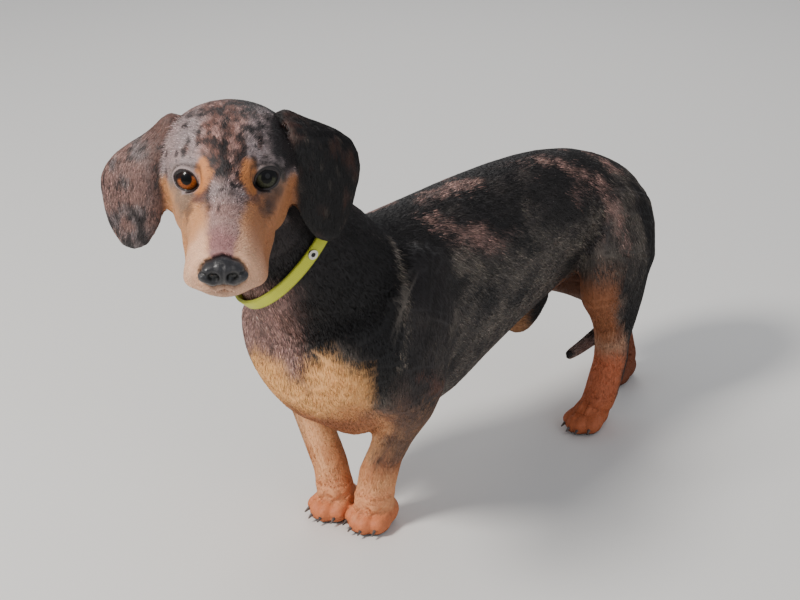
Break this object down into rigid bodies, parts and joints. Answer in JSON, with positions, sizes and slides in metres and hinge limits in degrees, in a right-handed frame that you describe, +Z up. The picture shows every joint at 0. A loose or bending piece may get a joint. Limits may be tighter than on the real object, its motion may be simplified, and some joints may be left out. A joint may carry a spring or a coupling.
{
  "type": "standing dachshund",
  "caption": "Smooth-haired dappled miniature dachshund standing still on all its feet, head turned to its left, tail low, plain flat collar round the neck.",
  "frame": {"origin": "on the floor, under the middle of the whole model's length and width", "axes": "+Y runs from the chest back to the tail, +X towards the dog's left side, +Z up; the dog faces -Y and its head is turned towards +X"},
  "size_m": [0.1478, 0.4706, 0.2855],
  "materials": {
    "coat_dark": "black-brown smooth coat",
    "coat_grey": "grey and black dappled smooth coat",
    "coat_head": "grey-brown dappled smooth coat",
    "coat_tan": "tan smooth coat",
    "nose_leather": "moist, slightly glossy, finely grained",
    "eye_amber": "wet dark amber eye",
    "eye_dark": "wet dark grey-green eye",
    "claw_horn": "dark horn, half matt",
    "collar_band": "yellow-green woven band, plain",
    "eyelet_metal": "pale metal eyelet"
  },
  "bodies": {
    "root": {"claw_front_left_1": "claw_horn", "claw_front_left_2": "claw_horn", "claw_front_left_3": "claw_horn", "claw_front_left_4": "claw_horn", "claw_front_right_1": "claw_horn", "claw_front_right_2": "claw_horn", "claw_front_right_3": "claw_horn", "claw_front_right_4": "claw_horn", "claw_hind_left_1": "claw_horn", "claw_hind_left_2": "claw_horn", "claw_hind_left_3": "claw_horn", "claw_hind_left_4": "claw_horn", "claw_hind_right_1": "claw_horn", "claw_hind_right_2": "claw_horn", "claw_hind_right_3": "claw_horn", "claw_hind_right_4": "claw_horn", "collar": "collar_band", "collar_eyelet": "eyelet_metal", "ear_left": "coat_dark", "ear_right": "coat_head", "eye_left": "eye_dark", "eye_right": "eye_amber", "front_leg_left": "coat_tan", "front_leg_right": "coat_tan", "front_paw_left": "coat_tan", "front_paw_right": "coat_tan", "head": "coat_head", "hind_leg_left": "coat_grey", "hind_leg_right": "coat_grey", "hind_paw_left": "coat_tan", "hind_paw_right": "coat_tan", "neck": "coat_grey", "nose": "nose_leather", "tail": "coat_grey", "torso": "coat_dark"}
  },
  "joints": []
}
